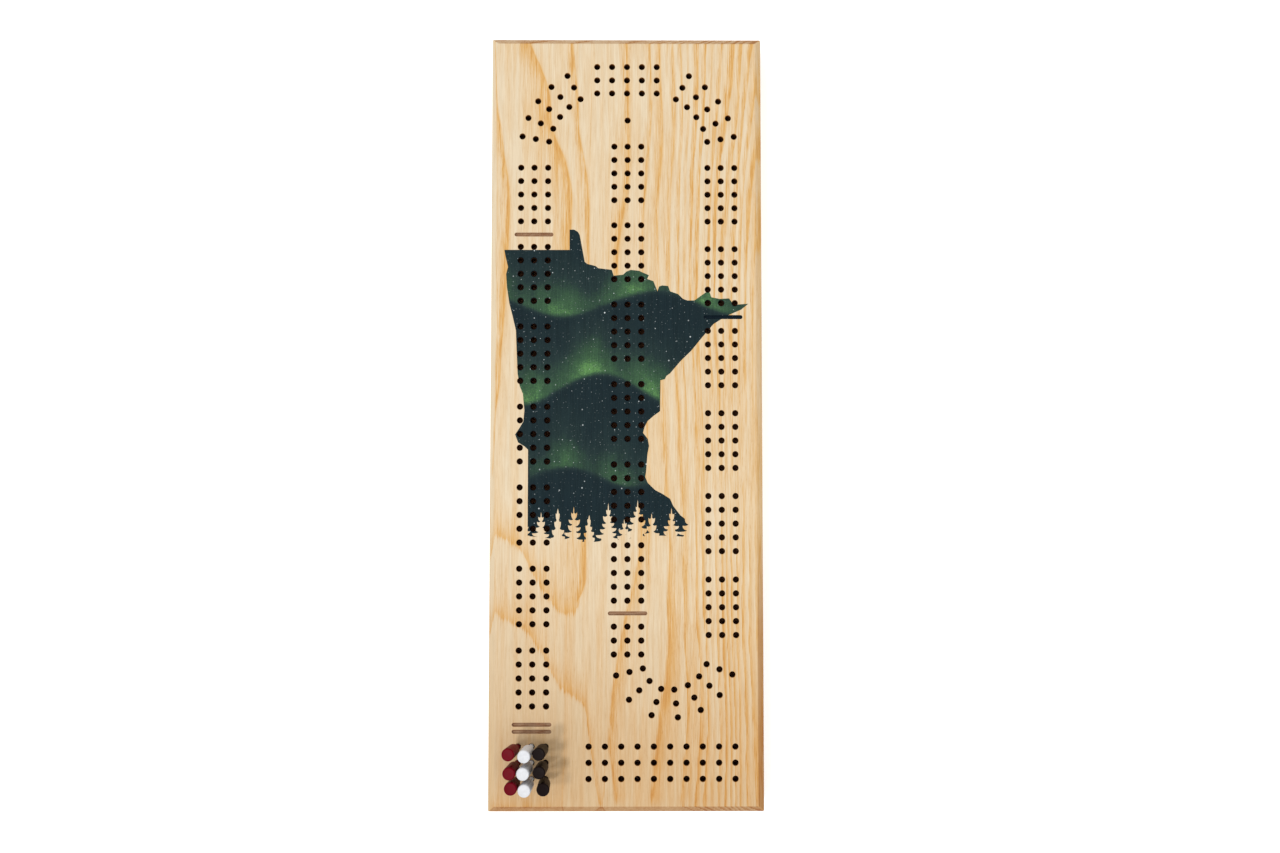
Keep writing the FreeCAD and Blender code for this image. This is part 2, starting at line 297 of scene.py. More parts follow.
class Shell:
    """Points and faces of a piece while it is being built."""

    def __init__(self):
        self.points = []
        self.faces = []
        self.finishes = []

    def ring(self, outline, height):
        """A level closed ring of points, as their numbers."""
        start = len(self.points)
        self.points += [(x, y, height) for x, y in outline]
        return list(range(start, len(self.points)))

    def face(self, corners, finish=0):
        self.faces.append(tuple(corners))
        self.finishes.append(finish)

    def band(self, low, high, finish=0):
        """Faces between two rings of as many points."""
        count = len(low)
        for i in range(count):
            j = (i + 1) % count
            self.face((low[i], low[j], high[j], high[i]), finish)

    def sheet(self, outer, inner, upwards, finish=0):
        """A flat face between an outer ring and the rings of its openings."""
        rings = [outer] + inner
        numbers = [n for ring in rings for n in ring]
        owner = {n: k for k, ring in enumerate(rings) for n in ring}
        place = {n: i for i, n in enumerate(numbers)}
        flat = [Vector(self.points[n][:2]) / MM for n in numbers]
        edges = [(place[a], place[b]) for ring in rings for a, b in zip(ring, ring[1:] + ring[:1])]
        made = geometry.delaunay_2d_cdt(flat, edges, [], 1, 1e-6)
        source = [numbers[ids[0]] for ids in made[3]]
        for triangle in made[2]:
            corners = [source[i] for i in triangle]
            owners = {owner[n] for n in corners}
            if len(owners) == 1 and 0 not in owners:
                continue
            self.face(corners if upwards else corners[::-1], finish)

    def piece(self, name, materials, crease=35.0):
        """The finished object, smooth but for its real edges."""
        mesh = bpy.data.meshes.new(name)
        mesh.from_pydata(self.points, [], self.faces)
        for material in materials:
            mesh.materials.append(material)
        mesh.polygons.foreach_set("material_index", self.finishes)
        mesh.validate()
        mesh.polygons.foreach_set("use_smooth", [True] * len(mesh.polygons))
        mesh.set_sharp_from_angle(angle=math.radians(crease))
        mesh.update()
        piece = bpy.data.objects.new(name, mesh)
        bpy.context.scene.collection.objects.link(piece)
        return piece


def circle(x, y, radius, sides):
    """Points of a circle, anticlockwise seen from above."""
    turns = [math.tau * i / sides for i in range(sides)]
    return [(x + radius * math.cos(t), y + radius * math.sin(t)) for t in turns]


def rounded_rectangle(x, y, width, length, radius, steps=4):
    """Points of a rectangle with round corners, anticlockwise seen from above."""
    points = []
    for quarter, (side_x, side_y) in enumerate(((1, 1), (-1, 1), (-1, -1), (1, -1))):
        middle_x = x + side_x * (width / 2 - radius)
        middle_y = y + side_y * (length / 2 - radius)
        for step in range(steps + 1):
            turn = math.pi / 2 * (quarter + step / steps)
            points.append((middle_x + radius * math.cos(turn), middle_y + radius * math.sin(turn)))
    return points


def stadium(x0, x1, y, half, run_steps=24, end_steps=10):
    """Points of a level slot with round ends, from its left tip, anticlockwise.

    Point i and point -i face each other across the slot.
    """
    def upper(side):
        left, right = x0 + half, x1 - half
        turns = [math.pi / 2 * k / end_steps for k in range(end_steps + 1)]
        points = [(left - half * math.cos(t), y + side * half * math.sin(t)) for t in turns]
        points += [(left + (right - left) * k / run_steps, y + side * half) for k in range(1, run_steps)]
        points += [(right + half * math.sin(t), y + side * half * math.cos(t)) for t in turns]
        return points

    lower_side = upper(-1)
    return lower_side + upper(1)[-2:0:-1]


def eased(profile, reach, steps=3):
    """A profile with every inner corner rounded over a short reach."""
    points = [Vector(profile[0])]
    for before, corner, after in zip(profile, profile[1:], profile[2:]):
        before, corner, after = Vector(before), Vector(corner), Vector(after)
        start = corner + (before - corner).normalized() * min(reach, (before - corner).length * 0.45)
        end = corner + (after - corner).normalized() * min(reach, (after - corner).length * 0.45)
        for k in range(steps + 1):
            t = k / steps
            points.append(start.lerp(corner, t).lerp(corner.lerp(end, t), t))
    return points + [Vector(profile[-1])]


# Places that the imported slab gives.

def slab_points(level):
    """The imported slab's points at a height, seen from above."""
    points = np.array([v.co for v in frame["nodes"]["board"].data.vertices])
    return points[abs(points[:, 2] - level) < 0.005 * MM][:, :2]


def peg_holes():
    """Middle and radius of every peg hole, from the floors of the holes."""
    points = slab_points(FACE - HOLE_DEPTH)
    across = 3.4 * MM
    holes = []
    while len(points):
        near = np.linalg.norm(points - points[0], axis=1) < across
        low, high = points[near].min(0), points[near].max(0)
        holes.append((*(low + high) / 2, (high[0] - low[0]) / 2))
        points = points[~near]
    return holes


def routed_lines():
    """Left end, right end, middle height and half width of every routed line."""
    points = slab_points(FACE - LINE_DEPTH)
    points = points[np.argsort(points[:, 1])]
    gaps = np.flatnonzero(np.diff(points[:, 1]) > 1.0 * MM) + 1
    lines = []
    for group in np.split(points, gaps):
        (x0, y0), (x1, y1) = group.min(0), group.max(0)
        lines.append((x0, x1, (y0 + y1) / 2, (y1 - y0) / 2))
    return lines


def peg_pocket():
    """Middle and size of the peg store under the board."""
    points = slab_points(UNDERSIDE + POCKET_DEPTH)
    low, high = points.min(0), points.max(0)
    return (*(low + high) / 2, *(high - low))


# The map and its trees.

def map_outline():
    """The border of the printed panel, in mm."""
    west, north = BORDER[0]
    return [(MAP_CORNER[0] + (west - w) * MAP_DEGREE[0], MAP_CORNER[1] + (n - north) * MAP_DEGREE[1])
            for w, n in BORDER]


def arc(start, bend, end, steps=4):
    """Points of a curve from start towards bend and round to end, without its start."""
    start, bend, end = Vector(start), Vector(bend), Vector(end)
    shares = [k / steps for k in range(1, steps + 1)]
    return [tuple(start.lerp(bend, t).lerp(bend.lerp(end, t), t)) for t in shares]


def bough_side(height, half_width, boughs, slim, chance):
    """One side of a conifer from its tip down, as (out, down) points."""
    leader = height * (0.10 if slim > 0.5 else 0.15)
    outline = [(0.22, leader * 0.5), (0.20 + 0.25 * slim, leader)]
    down = leader
    for k in range(boughs):
        share = (k + 1) / boughs
        deep = (height - leader) / boughs * chance.uniform(0.72, 1.3)
        out = half_width * (share ** (0.75 + 0.2 * slim)) * chance.uniform(0.68, 1.15)
        neck = out * (0.14 + 0.50 * slim + 0.30 * share ** 2) + share * half_width * 0.08 * (1 - slim)
        lift = deep * (0.55 - 0.5 * share) * (1 - 0.6 * slim)
        start = outline[-1]
        tip = (out, down + deep * 0.42 - lift)
        outline += arc(start, (out * 0.45, down + deep * 0.34), tip)
        outline += arc(tip, (out * 1.02, down + deep * 0.86), (neck, down + deep), 5)
        down += deep
    return outline


def conifer(middle, top, foot, half_width, boughs, slim, chance):
    """Outline of a fir in mm: a thin leader over uneven boughs that curl up at their tips."""
    sides = [bough_side(top - foot, half_width, boughs, slim, chance) for _ in range(2)]
    right = [(middle + out, top - down) for out, down in sides[0]]
    left = [(middle - out, top - down) for out, down in sides[1]]
    root = foot - TRUNK_IN_GROUND
    trunk = half_width * 0.45
    return [(middle, top)] + right + [(middle + trunk, root), (middle - trunk, root)] + left[::-1]


def ground(x):
    """Height of the ground under the firs."""
    return GROUND_LEVEL + GROUND_SWELL * math.sin(x / GROUND_WAVE)


def bare_wood(seed):
    """Outlines inside the map where no ink goes: the ground and its firs."""
    chance = random.Random(seed)
    left, right = TREE_ROW
    steps = int((right - left + 2.0 * GROUND_BEYOND) / GROUND_STEP)
    hills = [left - GROUND_BEYOND + GROUND_STEP * k for k in range(steps + 1)]
    shapes = [[(x, ground(x)) for x in hills] + [(hills[-1], GROUND_FLOOR), (hills[0], GROUND_FLOOR)]]
    middle = left
    while middle < right:
        height = chance.uniform(*TREE_HEIGHT)
        slim = chance.uniform(0.0, 0.9)
        half_width = height * (0.34 - 0.10 * slim)
        boughs = round(height / BOUGH_STEP) + 1
        foot = ground(middle) - TREE_SUNK
        shapes.append(conifer(middle, foot + height, foot, half_width, boughs, slim, chance))
        middle += TREE_STEP * chance.uniform(0.75, 1.25)
    return shapes


def inside(points, outline):
    """Which points lie inside a closed outline."""
    x, y = points[:, 0], points[:, 1]
    crossed = np.zeros(len(points), bool)
    for (x0, y0), (x1, y1) in zip(outline, outline[1:] + outline[:1]):
        spans = (y0 > y) != (y1 > y)
        if y0 != y1:
            crossed ^= spans & (x < x0 + (y - y0) * (x1 - x0) / (y1 - y0))
    return crossed


def inked(points, seed):
    """Which points, in mm, the ink covers."""
    covered = inside(points, map_outline())
    for shape in bare_wood(seed):
        covered &= ~inside(points, shape)
    return covered


def northern_lights(points):
    """How brightly the sky glows at each point: curtains with a sharp foot and a soft top."""
    x, y = points[:, 0], points[:, 1]
    glow = np.zeros(len(points))
    for level, sway, reach, turn, bright in CURTAINS:
        above = y - level - sway * np.sin(x / reach + turn)
        folds = 0.74 + 0.26 * np.sin(x / (0.4 * reach) + 2.0 * turn)
        top = np.exp(-(np.abs(above) / CURTAIN_HEIGHT) ** 1.4)
        foot = np.exp(-(above / CURTAIN_FOOT) ** 2)
        glow = np.maximum(glow, bright * folds * np.where(above > 0.0, top, foot))
    return glow + HAZE * (1.0 - glow)


# Finishes.

class Finish:
    """A material while it is being mixed, with short ways to add and join nodes."""

    def __init__(self, name, **constants):
        self.material = bpy.data.materials.new(name)
        self.material.use_nodes = True
        self.tree = self.material.node_tree
        self.tree.nodes.clear()
        self.shader = self.node("ShaderNodeBsdfPrincipled")
        self.feed(self.node("ShaderNodeOutputMaterial").inputs[0], self.shader.outputs[0])
        for socket, value in constants.items():
            self.surface(socket.replace("_", " "), value)

    def node(self, kind, **choices):
        node = self.tree.nodes.new(kind)
        for key, value in choices.items():
            setattr(node, key, value)
        return node

    def feed(self, socket, value):
        """Joins an output to a socket, or sets a plain value on it."""
        if isinstance(value, bpy.types.NodeSocket):
            self.tree.links.new(value, socket)
        elif socket.type == "RGBA":
            socket.default_value = (*tuple(value)[:3], 1.0)
        else:
            socket.default_value = value

    def surface(self, socket, value):
        """Joins an output to one of the shader's sockets, or sets a plain value on it."""
        self.feed(self.shader.inputs[socket], value)

    def sum(self, operation, *values, clamp=False):
        node = self.node("ShaderNodeMath", operation=operation, use_clamp=clamp)
        for socket, value in zip(node.inputs, values):
            self.feed(socket, value)
        return node.outputs[0]

    def vector(self, operation, *values):
        node = self.node("ShaderNodeVectorMath", operation=operation)
        for socket, value in zip(node.inputs, values):
            self.feed(socket, value)
        return node.outputs["Value"] if operation in ("LENGTH", "DOT_PRODUCT") else node.outputs[0]

    def place(self):
        """Where on the piece, in mm."""
        where = self.node("ShaderNodeTexCoord").outputs["Object"]
        return self.vector("MULTIPLY", where, (1000, 1000, 1000))

    def parts(self, vector):
        return self.node_out("ShaderNodeSeparateXYZ", vector)

    def node_out(self, kind, value):
        node = self.node(kind)
        self.feed(node.inputs[0], value)
        return node.outputs

    def noise(self, place, size, detail=2.0, roughness=0.5, seed=0.0):
        """Soft noise whose lumps are about size = (x, y, z) mm."""
        scaled = self.vector("DIVIDE", place, size)
        shifted = self.vector("ADD", scaled, (seed, seed * 1.7, seed * 0.6))
        node = self.node("ShaderNodeTexNoise")
        for name, value in (("Vector", shifted), ("Scale", 1.0), ("Detail", detail),
                            ("Roughness", roughness)):
            self.feed(node.inputs[name], value)
        return node.outputs["Fac"]

    def remap(self, value, low, high, to_low=0.0, to_high=1.0, smooth=False):
        node = self.node("ShaderNodeMapRange", interpolation_type="SMOOTHSTEP" if smooth else "LINEAR")
        for socket, number in zip(node.inputs, (value, low, high, to_low, to_high)):
            self.feed(socket, number)
        return node.outputs[0]

    def spread(self, noise, low, high):
        """The usual range of a noise, spread from low to high."""
        return self.remap(noise, 0.3, 0.7, low, high)

    def line(self, value, points):
        """A smooth line through (value, result) points, all within LINE_SPAN of nought."""
        node = self.node("ShaderNodeFloatCurve")
        curve = node.mapping.curves[0]
        places = [((a + LINE_SPAN) / (2 * LINE_SPAN), (b + LINE_SPAN) / (2 * LINE_SPAN))
                  for a, b in sorted(points)]
        curve.points[0].location = places[0]
        curve.points[-1].location = places[-1]
        for place in places[1:-1]:
            curve.points.new(*place)
        for point in curve.points:
            point.handle_type = "AUTO_CLAMPED"
        node.mapping.update()
        scaled = self.sum("MULTIPLY_ADD", value, 0.5 / LINE_SPAN, 0.5)
        self.feed(node.inputs["Value"], scaled)
        return self.sum("MULTIPLY_ADD", node.outputs[0], 2 * LINE_SPAN, -LINE_SPAN)

    def ramp(self, value, stops):
        """A colour for each value from 0 to 1, through (value, colour) stops."""
        node = self.node("ShaderNodeValToRGB")
        elements = node.color_ramp.elements
        while len(elements) < len(stops):
            elements.new(0.5)
        for element, (position, colour) in zip(elements, stops):
            element.position = position
            element.color = (*colour, 1.0)
        self.feed(node.inputs["Fac"], value)
        return node.outputs["Color"]

    def blend(self, share, first, second, kind="MIX"):
        node = self.node("ShaderNodeMix", data_type="RGBA", blend_type=kind)
        self.feed(node.inputs["Factor"], share)
        self.feed(node.inputs[6], first)
        self.feed(node.inputs[7], second)
        return node.outputs[2]

    def tint(self, colour, glass):
        """A colour seen through coloured glass."""
        return self.blend(1.0, colour, glass, "MULTIPLY")

    def shade(self, colour, amount):
        """A colour, or any three numbers, times an amount."""
        return self.vector("SCALE", colour, (0, 0, 0), (0, 0, 0), amount)

    def bump(self, height, distance, strength=1.0):
        node = self.node("ShaderNodeBump")
        for name, value in (("Height", height), ("Distance", distance), ("Strength", strength)):
            self.feed(node.inputs[name], value)
        self.surface("Normal", node.outputs[0])


def ring_glow(mix, side, left, right):
    """Amber beside a ring: it fades over one reach on its left and another on its right."""
    rightwards = mix.sum("DIVIDE", side, mix.sum("MULTIPLY", right, -1.0))
    fade = mix.sum("MAXIMUM", mix.sum("DIVIDE", side, left), rightwards)
    return mix.sum("EXPONENT", mix.sum("MULTIPLY", fade, -1.0))


def traced_rings(mix, y, across):
    """Amber of the rings that run along the board one by one."""
    amber = 0.0
    for route, left, right, strength in RINGS:
        side = mix.sum("SUBTRACT", mix.line(y, route), across)
        here = [mix.remap(y, *RING_ENDS, *ends) for ends in (left, right, strength)]
        reach_left, reach_right, power = here
        glow = mix.sum("MULTIPLY", ring_glow(mix, side, reach_left, reach_right), power)
        end = route[-1][0]
        glow = mix.sum("MULTIPLY", glow, mix.remap(y, end - 2.0, end + 6.0, smooth=True))
        amber = mix.sum("MAXIMUM", amber, glow)
    return amber


def one_year(mix, turn):
    """Amber through one year's growth: a slow rise and a sudden end."""
    rise = mix.remap(turn, 0.15, 0.85, smooth=True)
    return mix.sum("MULTIPLY", rise, mix.remap(turn, 0.88, 1.0, 1.0, 0.0, smooth=True))


def fine_rings(mix, place, y, across):
    """Amber of the close rings beside the right edge, which turn over near the start end."""
    first = mix.line(y, FINE_FROM)
    last = mix.line(y, FINE_TO)
    count = mix.sum("DIVIDE", mix.sum("SUBTRACT", across, first), mix.sum("SUBTRACT", last, first))
    uneven = mix.spread(mix.noise(place, (17, 400, 17), 1.0, 0.5, 3.3), -0.035, 0.035)
    rings = mix.sum("MULTIPLY", mix.sum("ADD", count, uneven), FINE_RINGS)
    luck = mix.node("ShaderNodeTexWhiteNoise", noise_dimensions="1D")
    mix.feed(luck.inputs["W"], mix.sum("FLOOR", rings))
    strength = mix.remap(luck.outputs["Value"], 0.0, 1.0, *FINE_STRENGTH)
    turn = mix.sum("FRACT", rings)
    start_end = mix.remap(y, 40.0, -90.0)
    early = mix.sum("MULTIPLY", one_year(mix, turn), mix.sum("SUBTRACT", 1.0, start_end))
    late = mix.sum("MULTIPLY", one_year(mix, mix.sum("SUBTRACT", 1.0, turn)), start_end)
    fine = mix.sum("MULTIPLY", mix.sum("ADD", early, late), strength)
    return mix.sum("MULTIPLY", fine, mix.remap(count, 0.0, 0.02))


def arch(mix, route, x, along, feather, wander):
    """Amber of a ring that turns across the board."""
    up = mix.sum("SUBTRACT", along, mix.line(x, route))
    ragged = mix.sum("MULTIPLY_ADD", feather, 6.5, mix.sum("MULTIPLY", wander, 3.0))
    glow = ring_glow(mix, mix.sum("ADD", up, ragged), *ARCH_REACH)
    return mix.sum("MULTIPLY", glow, ARCH_STRENGTH)


def growth_rings(mix, place, feather, wander):
    """How amber the wood is. Rings lean with the depth, so they also show on the sides."""
    x, y, z = mix.parts(place)
    depth = mix.sum("SUBTRACT", FACE / MM, z)
    lean = mix.sum("MULTIPLY", mix.remap(x, -40.0, 60.0, 5.0, 1.3), depth)
    shift = mix.sum("ADD", mix.sum("MULTIPLY", feather, 1.7), mix.sum("MULTIPLY", wander, 1.6))
    across = mix.sum("ADD", mix.sum("SUBTRACT", x, lean), shift)
    amber = mix.sum("MAXIMUM", traced_rings(mix, y, across), fine_rings(mix, place, y, across))
    along = mix.sum("MULTIPLY_ADD", depth, ARCH_DIP, y)
    for route in ARCHES:
        amber = mix.sum("MAXIMUM", amber, arch(mix, route, x, along, feather, wander))
    return amber


def amber_share(mix, place, fibre, brush):
    """How much of the rings' colour the wood has: none at 0, all at 1, and deeper past that."""
    x, _, _ = mix.parts(place)
    streak = mix.noise(place, (3.2, 90, 3.2), 2.0, 0.5, 5.2)
    patch = mix.noise(place, (22, 45, 22), 2.0, 0.5, 12.5)
    wander = mix.sum("SUBTRACT", mix.noise(place, (9, 38, 9), 2.0, 0.5, 8.4), 0.5)
    feather = mix.sum("ADD", mix.sum("SUBTRACT", fibre, 0.5), mix.sum("MULTIPLY_ADD", brush, 0.8, -0.4))
    ring = growth_rings(mix, place, feather, wander)
    soft = mix.sum("ADD", mix.remap(streak, 0.34, 0.70, -0.10, 0.26), mix.spread(patch, -0.05, 0.14))
    # Painted light and shade on the sides: the right bevel takes more amber and the left bevel less, as
    # the light falls from the left.
    right_bevel_painted_shade = mix.remap(x, 63.0, 69.0, 0.0, 0.45)
    left_bevel_painted_light = mix.remap(x, -64.0, -69.0, 0.0, -0.25)
    thread = mix.sum("ADD", mix.spread(fibre, -0.10, 0.16), mix.spread(brush, -0.08, 0.12))
    soft = mix.sum("ADD", soft, mix.sum("ADD", mix.sum("ADD", right_bevel_painted_shade, left_bevel_painted_light), thread))
    broken = mix.sum("MULTIPLY", mix.spread(fibre, 0.55, 1.45), mix.spread(brush, 0.72, 1.28))
    amber = mix.sum("ADD", mix.sum("MULTIPLY", ring, mix.sum("MULTIPLY", broken, 1.1)), soft)
    return mix.sum("MINIMUM", mix.sum("MAXIMUM", amber, 0.0), DEEPEST_AMBER)


def hardwood(settings):
    """Satin ash: pale wood, feathered amber rings, fine fibre and short dark pores, with painted light and
    shade on its sides and painted shade at its start end.
    """
    mix = Finish("hardwood", IOR=1.45, Specular_IOR_Level=0.35)
    place = mix.place()
    x, y, _ = mix.parts(place)
    fibre = mix.noise(place, (0.42, 11, 0.42), 3.0, 0.62, 1.7)
    brush = mix.noise(place, (1.1, 24, 1.1), 2.0, 0.55, 6.1)
    pores = mix.noise(place, (0.36, 3.6, 0.36), 1.0, 0.5, 9.9)
    amber = amber_share(mix, place, fibre, brush)
    colour = mix.blend(amber, settings.pale, settings.amber)
    deeper = mix.tint(settings.amber, (0.93, 0.84, 0.72))
    colour = mix.blend(mix.remap(amber, 1.0, DEEPEST_AMBER), colour, deeper)

    # The start end of the slab is browner: partly the wood's own tone, partly painted shade of the light
    # falling off towards that end and of the pegs there.
    start_end_painted_shade = mix.remap(mix.sum("MULTIPLY_ADD", x, 0.25, y), -45.0, -200.0, smooth=True)
    colour = mix.blend(start_end_painted_shade, colour, mix.tint(colour, (0.855, 0.745, 0.61)))

    shadow = mix.sum("ADD", mix.spread(fibre, 0.045, -0.045), mix.spread(brush, 0.03, -0.03))
    colour = mix.shade(colour, mix.sum("ADD", shadow, 1.0))
    open_pore = mix.remap(pores, 0.60, 0.70)
    pored = mix.sum("MULTIPLY", open_pore, mix.remap(amber, 0.1, 0.7, 0.15, 0.55))
    colour = mix.blend(pored, colour, mix.tint(colour, (0.84, 0.70, 0.55)))

    # End grain drinks the finish and goes darker, most of all in the rings.
    outward, along, _ = mix.parts(mix.node("ShaderNodeNewGeometry").outputs["True Normal"])
    end_grain = mix.remap(mix.sum("ABSOLUTE", along), 0.3, 0.70, smooth=True)
    drunk = mix.blend(amber, (0.80, 0.68, 0.58), (0.60, 0.44, 0.34))
    colour = mix.blend(end_grain, colour, mix.tint(colour, drunk))

    # The right side towards the start end is darker still: painted shade on the faces turned away from the
    # light.
    near_start = mix.remap(y, -50.0, -110.0, smooth=True)
    right_face_painted_shade = mix.sum("MULTIPLY", mix.remap(outward, 0.3, 0.65), near_start)
    colour = mix.blend(right_face_painted_shade, colour, mix.tint(colour, (0.76, 0.64, 0.52)))
    mix.surface("Base Color", colour)
    mix.surface("Roughness", mix.remap(pores, 0.45, 0.70, 0.46, 0.60))
    relief = mix.sum("ADD", mix.sum("MULTIPLY", open_pore, -0.5), mix.sum("MULTIPLY", fibre, 0.4))
    mix.bump(relief, 0.05 * MM, 0.5)
    return mix.material


def drilled(settings):
    """Wood in a peg hole, darkened by painted shade the deeper it lies, and darkest at the floor."""
    mix = Finish("drilled_wood_painted_shade", Roughness=0.75, Specular_IOR_Level=0.1)
    place = mix.place()
    _, _, z = mix.parts(place)
    face = FACE / MM
    floor = (FACE - HOLE_DEPTH) / MM
    score = mix.noise(place, (1.2, 1.2, 0.18), 2.0, 0.6, 4.0)
    rim = mix.tint(settings.amber, (0.75, 0.55, 0.35))
    # Painted shade in the hole: the wall darkens from its rim downwards and the floor is darkest.
    painted_depth_shade = mix.tint(settings.painted_bore_shade, (0.25, 0.22, 0.20))
    colour = mix.blend(mix.remap(z, face - 0.3, face - 2.2, smooth=True), rim, painted_depth_shade)
    colour = mix.blend(mix.remap(z, floor + 1.2, floor + 0.3), colour, settings.painted_bore_shade)
    mix.surface("Base Color", mix.shade(colour, mix.spread(score, 0.75, 1.2)))
    mix.bump(score, 0.03 * MM, 0.5)
    return mix.material


def routed(settings):
    """Wood in a routed line: brown from the heat of the cutter, with its marks."""
    mix = Finish("routed_wood", Roughness=0.65, Specular_IOR_Level=0.15)
    place = mix.place()
    mark = mix.noise(place, (0.5, 2.5, 0.8), 2.0, 0.6, 2.0)
    burn = mix.noise(place, (5.0, 1.5, 1.5), 2.0, 0.5, 6.0)
    lighter = mix.blend(0.22, settings.routed, settings.pale)
    colour = mix.blend(mix.remap(burn, 0.35, 0.65), settings.routed, lighter)
    mix.surface("Base Color", mix.shade(colour, mix.spread(mark, 0.88, 1.1)))
    mix.bump(mark, 0.04 * MM, 0.6)
    return mix.material


def star_layer(mix, place, spacing, radius, seed):
    """Round stars of mixed brightness, about one to a cell of the spacing."""
    node = mix.node("ShaderNodeTexVoronoi", voronoi_dimensions="2D")
    cells = mix.shade(place, 1.0 / spacing)
    mix.feed(node.inputs["Vector"], mix.vector("ADD", cells, (seed, seed, 0.0)))
    mix.feed(node.inputs["Scale"], 1.0)
    red, green, _ = mix.node_out("ShaderNodeSeparateColor", node.outputs["Color"])
    size = mix.remap(red, 0.0, 1.0, 0.35, 1.0)
    middle = mix.sum("DIVIDE", node.outputs["Distance"], size)
    spot = mix.remap(middle, radius / spacing, 0.35 * radius / spacing)
    return mix.sum("MULTIPLY", spot, mix.remap(green, 0.35, 1.0))


def night_sky(settings):
    """Ink: deep blue night, green northern lights, stars and a trace of the wood's fibre."""
    mix = Finish("night_sky_ink", Roughness=0.65, IOR=1.45, Specular_IOR_Level=0.04)
    place = mix.place()
    glow = mix.node("ShaderNodeAttribute", attribute_name="glow").outputs["Fac"]
    dust = mix.noise(place, (0.55, 0.55, 0.55), 2.0, 0.7, 7.7)
    billow = mix.noise(place, (7, 9, 7), 3.0, 0.55, 2.2)
    lit = mix.sum("MULTIPLY", glow, mix.spread(dust, 0.80, 1.20))
    lit = mix.sum("MULTIPLY", lit, mix.spread(billow, 0.84, 1.16), clamp=True)
    night, lights = Vector(settings.night), Vector(settings.lights)
    haze = night.lerp(lights, 0.14)
    green = night.lerp(lights, 0.42)
    stops = ((0.0, night), (0.28, (haze.x * 0.9, haze.y * 0.75, haze.z * 1.15)),
             (0.72, (green.x, green.y, green.z * 1.15)), (1.0, lights))
    grain = mix.noise(place, (0.6, 18, 0.6), 2.0, 0.6, 1.7)
    colour = mix.shade(mix.ramp(lit, stops), mix.spread(grain, 0.84, 1.16))
    speck = mix.remap(mix.noise(place, (0.42, 0.42, 0.42), 1.0, 0.5, 15.0), 0.66, 0.80)
    stars = mix.sum("MULTIPLY", speck, mix.remap(glow, 0.0, 0.6, 0.02, 0.10))
    for spacing, radius, seed, power in STARS:
        layer = star_layer(mix, place, spacing, radius, seed)
        stars = mix.sum("ADD", stars, mix.sum("MULTIPLY", layer, power))
    mix.surface("Base Color", mix.blend(mix.sum("MINIMUM", stars, 1.0), colour, (0.70, 0.76, 0.76)))
    mix.bump(grain, 0.02 * MM, 0.4)
    return mix.material


def moulded_plastic(name, colour):
    """Smooth moulded plastic with faint flow marks."""
    mix = Finish(name, IOR=1.49, Specular_IOR_Level=0.04)
    flow = mix.noise(mix.place(), (2.2, 2.2, 5.0), 3.0, 0.55, 4.4)
    mix.surface("Base Color", mix.shade(colour, mix.spread(flow, 0.92, 1.06)))
    mix.surface("Roughness", mix.spread(flow, 0.32, 0.44))
    mix.bump(flow, 0.02 * MM, 0.25)
    return mix.material


def brushed_brass(settings):
    """Brass sheet, brushed along its length and a little tarnished."""
    mix = Finish("brushed_brass", Metallic=1.0)
    place = mix.place()
    brush = mix.noise(place, (0.10, 9.0, 0.10), 2.0, 0.6, 3.0)
    tarnish = mix.noise(place, (9, 12, 9), 3.0, 0.55, 7.0)
    dull = mix.tint(settings.brass, (0.70, 0.60, 0.50))
    colour = mix.blend(mix.remap(tarnish, 0.45, 0.72), settings.brass, dull)
    mix.surface("Base Color", mix.shade(colour, mix.spread(brush, 0.92, 1.06)))
    mix.surface("Roughness", mix.remap(tarnish, 0.35, 0.70, 0.28, 0.44))
    mix.bump(brush, 0.01 * MM, 0.5)
    return mix.material


def foot_rubber(settings):
    """Dark moulded rubber with a fine matte skin."""
    mix = Finish("foot_rubber")
    place = mix.place()
    skin = mix.noise(place, (0.35, 0.35, 0.35), 3.0, 0.6, 1.0)
    dust = mix.noise(place, (3.5, 3.5, 3.5), 2.0, 0.6, 5.0)
    dusty = mix.blend(mix.remap(dust, 0.5, 0.75, 0.0, 0.35), settings.rubber, (0.10, 0.095, 0.09))
    mix.surface("Base Color", dusty)
    mix.surface("Roughness", mix.spread(skin, 0.62, 0.85))
    mix.bump(skin, 0.05 * MM, 0.6)
    return mix.material


# The slab.

def slab_body(shell, slab):
    """Sides of the slab: the ring they start from on the underside and the ring they reach on the face."""
    width = BOARD_HIGH.x - BOARD_LOW.x
    length = BOARD_HIGH.y - BOARD_LOW.y
    lower_easing = 0.8 * MM
    flat_edge = 1.0 * MM
    profile = [(lower_easing + flat_edge, UNDERSIDE), (lower_easing, UNDERSIDE),
               (0, UNDERSIDE + lower_easing), (0, FACE - slab.bevel), (slab.bevel, FACE),
               (slab.bevel + flat_edge, FACE)]
    rings = []
    for inset, height in eased(profile, slab.easing):
        outline = rounded_rectangle(0, 0, width - 2 * inset, length - 2 * inset, slab.corner)
        rings.append(shell.ring(outline, height))
    for low, high in zip(rings, rings[1:]):
        shell.band(low, high)
    return rings[0], rings[-1]


def ink_over(shell, faces, seed):
    """Gives the ink to those of the faces that lie within the printed panel."""
    middles = [np.mean([shell.points[n][:2] for n in shell.faces[face]], axis=0) / MM for face in faces]
    for face, ink in zip(faces, inked(np.array(middles), seed)):
        if ink:
            shell.finishes[face] = INK


